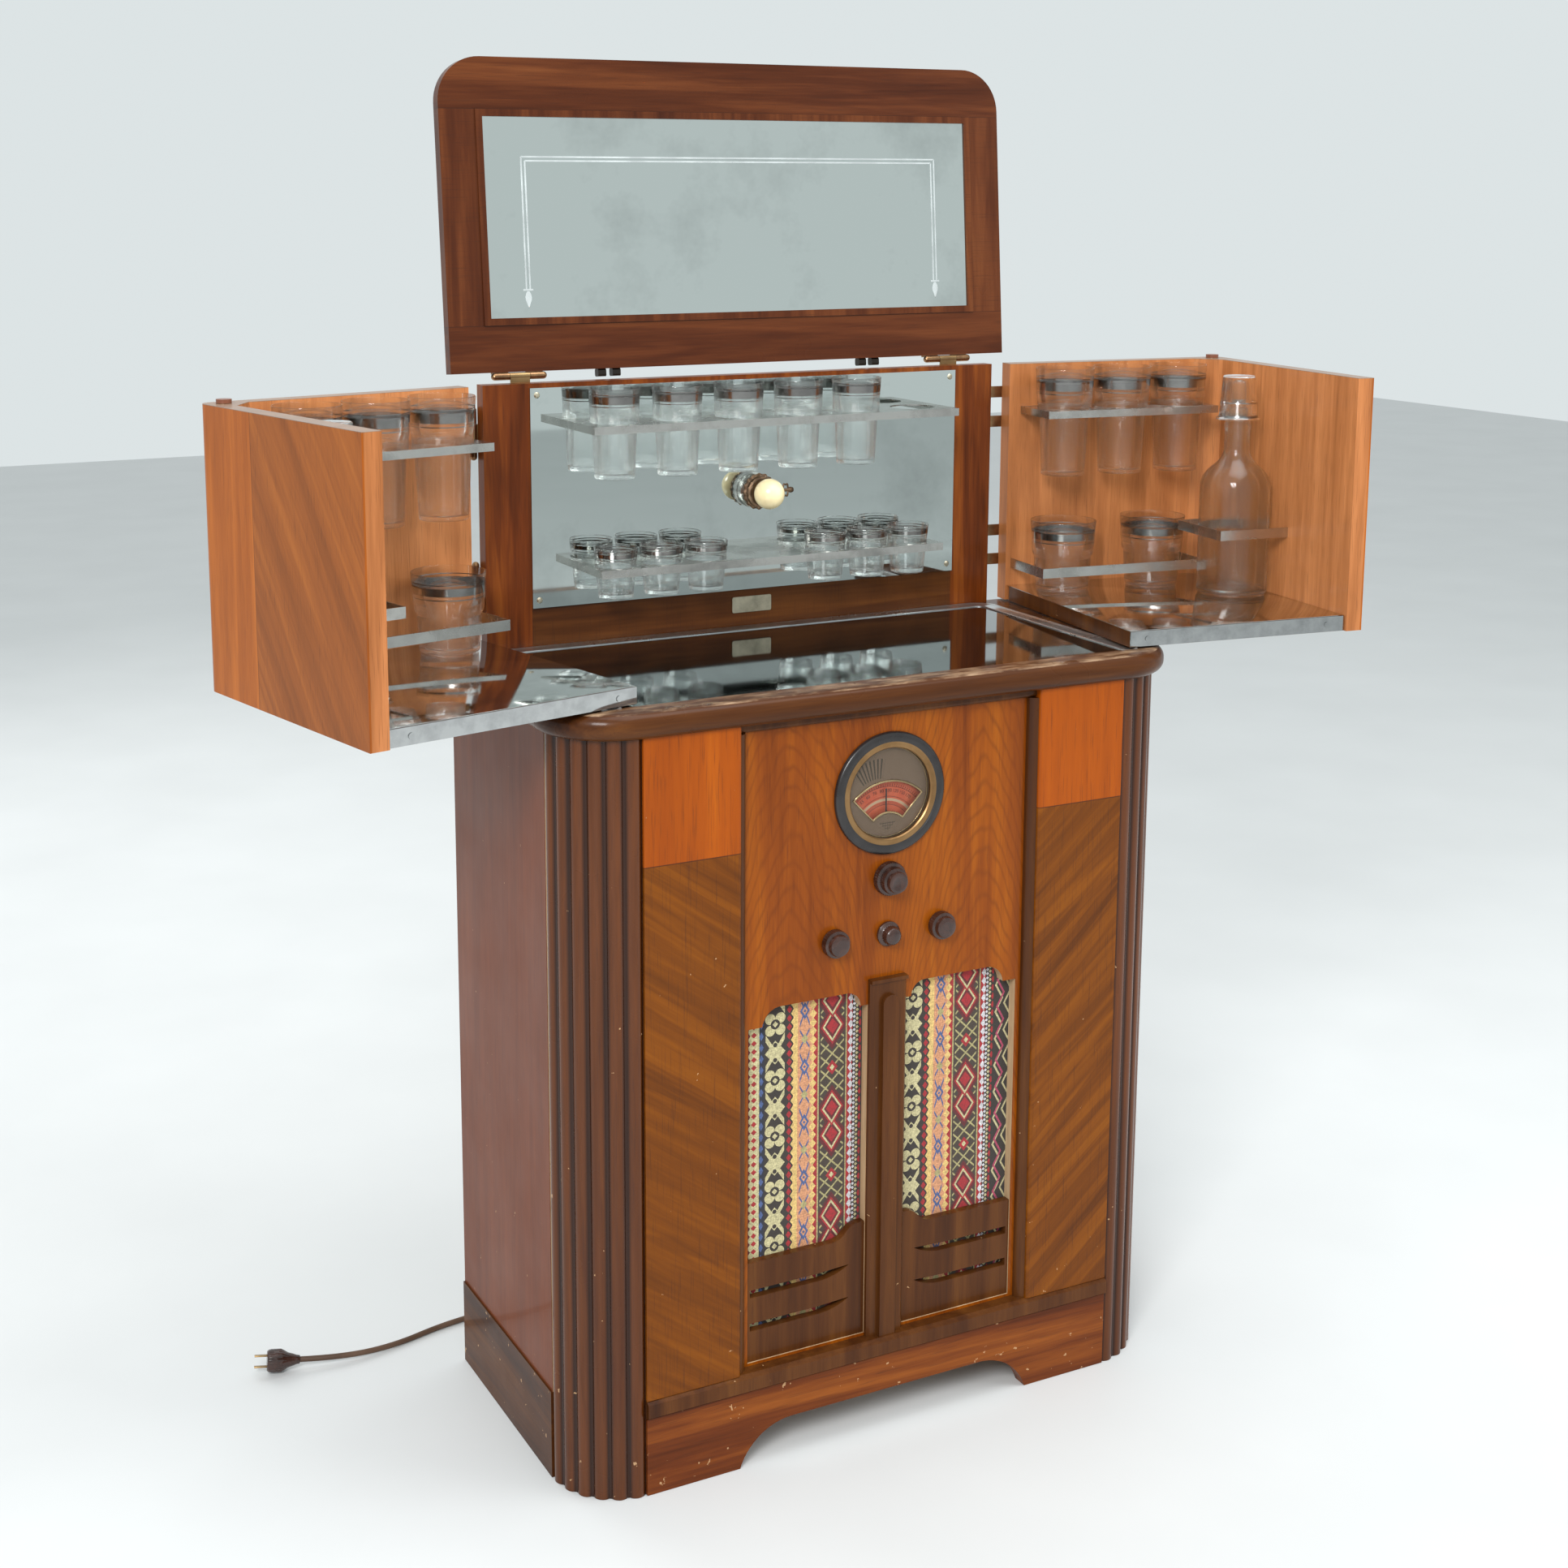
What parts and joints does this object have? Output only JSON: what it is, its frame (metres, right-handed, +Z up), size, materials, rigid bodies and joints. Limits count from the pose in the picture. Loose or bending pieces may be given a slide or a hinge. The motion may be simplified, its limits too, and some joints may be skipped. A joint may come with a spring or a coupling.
{
  "type": "console radio",
  "caption": "Floor-standing walnut radio cabinet with round dial, patterned cloth grille and a fold-out mirrored bar on top.",
  "frame": {"origin": "centre of the object's footprint box on the floor, under the middle of the cabinet", "axes": "+X right along the front, -Y towards the front, +Z up"},
  "size_m": [1.325, 0.5476, 1.5175],
  "materials": {
    "figured_walnut": "gloss",
    "dark_walnut": "gloss",
    "plain_wood": "matt",
    "mirror": "polished",
    "black_glass": "polished",
    "chrome": "polished",
    "nickel": "worn satin",
    "brass": "aged",
    "bronze": "antique",
    "clear_glass": "clear",
    "ivory_glass": "opal",
    "bakelite": "gloss",
    "dial_print": "printed",
    "cloth": "woven",
    "cone_paper": "matt",
    "steel": "plated",
    "black_enamel": "satin",
    "lead_rubber": "matt"
  },
  "bodies": {
    "cabinet": {"back_mirror": "mirror", "back_panel": "figured_walnut", "capacitor_frame": "steel", "chassis": "steel", "chrome_trim": "chrome", "control_bodies": "black_enamel", "control_panel": "figured_walnut", "counter_glass": "black_glass", "counter_top": "dark_walnut", "dial_glass": "clear_glass", "dial_plate": "dial_print", "dial_ring": "bronze", "fastenings": "nickel", "field_coil": "black_enamel", "fixed_hinges": "brass", "front_mouldings": "dark_walnut", "front_stiles": "figured_walnut", "grille_cloth": "cloth", "inner_shelves": "plain_wood", "lamp_globe": "ivory_glass", "lamp_socket": "nickel", "lower_glass_rack": "nickel", "lower_grille": "figured_walnut", "plinth": "figured_walnut", "power_cord": "lead_rubber", "power_plug": "bakelite", "power_transformer": "black_enamel", "radio_tubes": "clear_glass", "rear_terminals": "bakelite", "reeded_corners": "dark_walnut", "shield_cans": "steel", "side_panels": "figured_walnut", "speaker_baffle": "plain_wood", "speaker_cone": "cone_paper", "speaker_frame": "black_enamel", "upper_glass_rack": "nickel"},
    "lid": {"lid_panel": "figured_walnut", "lid_mirror": "mirror", "lid_hinges": "brass"},
    "tuning": {"tuning_knob": "bakelite"},
    "volume": {"volume_knob": "bakelite"},
    "tone": {"tone_knob": "bakelite"},
    "band": {"band_knob": "bakelite"},
    "pointer": {"dial_pointer": "black_enamel"},
    "rotor": {"capacitor_rotor": "steel"},
    "lamp_key": {"lamp_key": "bronze"},
    "left_wing": {"left_wing_case": "figured_walnut", "left_wing_shelf": "dark_walnut", "left_wing_rack": "nickel", "left_wing_rails": "nickel", "left_wing_fittings": "brass"},
    "left_decanter": {"left_decanter": "clear_glass"},
    "left_jigger": {"left_jigger": "clear_glass"},
    "right_wing": {"right_wing_case": "figured_walnut", "right_wing_shelf": "dark_walnut", "right_wing_rack": "nickel", "right_wing_rails": "nickel", "right_wing_fittings": "brass"},
    "right_decanter": {"right_decanter": "clear_glass"},
    "right_jigger": {"right_jigger": "clear_glass"}
  },
  "joints": [
    {"name": "lid_hinge", "type": "hinge", "parent": "cabinet", "child": "lid", "pos_m": [0, 0.185, 1.167], "axis": [-1, 0, 0], "range_deg": [-94.7, 0]},
    {"name": "left_wing_hinge", "type": "hinge", "parent": "cabinet", "child": "left_wing", "pos_m": [-0.3395, 0.183, 1.017], "axis": [0, 0, -1], "range_deg": [-78, 12]},
    {"name": "right_wing_hinge", "type": "hinge", "parent": "cabinet", "child": "right_wing", "pos_m": [0.3395, 0.183, 1.017], "axis": [0, 0, 1], "range_deg": [-83, 7]},
    {"name": "tuning_shaft", "type": "hinge", "parent": "cabinet", "child": "tuning", "pos_m": [0, -0.17, 0.64], "axis": [0, -1, 0], "range_deg": [-900, 900]},
    {"name": "rotor_shaft", "type": "hinge", "parent": "cabinet", "child": "rotor", "pos_m": [0, 0, 0.64], "axis": [0, -1, 0], "range_deg": [-90, 90]},
    {"name": "pointer_shaft", "type": "hinge", "parent": "cabinet", "child": "pointer", "pos_m": [0, -0.15, 0.686], "axis": [0, -1, 0], "range_deg": [-38, 38]},
    {"name": "volume_shaft", "type": "hinge", "parent": "cabinet", "child": "volume", "pos_m": [-0.067, -0.17, 0.577], "axis": [0, -1, 0], "range_deg": [-150, 150]},
    {"name": "tone_shaft", "type": "hinge", "parent": "cabinet", "child": "tone", "pos_m": [0, -0.17, 0.577], "axis": [0, -1, 0], "range_deg": [-135, 135]},
    {"name": "band_shaft", "type": "hinge", "parent": "cabinet", "child": "band", "pos_m": [0.067, -0.17, 0.577], "axis": [0, -1, 0], "range_deg": [-30, 30]},
    {"name": "lamp_switch", "type": "hinge", "parent": "cabinet", "child": "lamp_key", "pos_m": [0.033, 0.14, 1.024], "axis": [1, 0, 0], "range_deg": [0, 90]},
    {"name": "left_decanter_lift", "type": "slide", "parent": "left_wing", "child": "left_decanter", "axis": [0, 0, 1], "range_m": [0, 0.26]},
    {"name": "left_jigger_lift", "type": "slide", "parent": "left_decanter", "child": "left_jigger", "axis": [0, 0, 1], "range_m": [0, 0.09]},
    {"name": "right_decanter_lift", "type": "slide", "parent": "right_wing", "child": "right_decanter", "axis": [0, 0, 1], "range_m": [0, 0.26]},
    {"name": "right_jigger_lift", "type": "slide", "parent": "right_decanter", "child": "right_jigger", "axis": [0, 0, 1], "range_m": [0, 0.09]}
  ],
  "couplings": [
    {"joint": "rotor_shaft", "follows": "tuning_shaft", "ratio": 0.1},
    {"joint": "pointer_shaft", "follows": "tuning_shaft", "ratio": 0.0422}
  ]
}
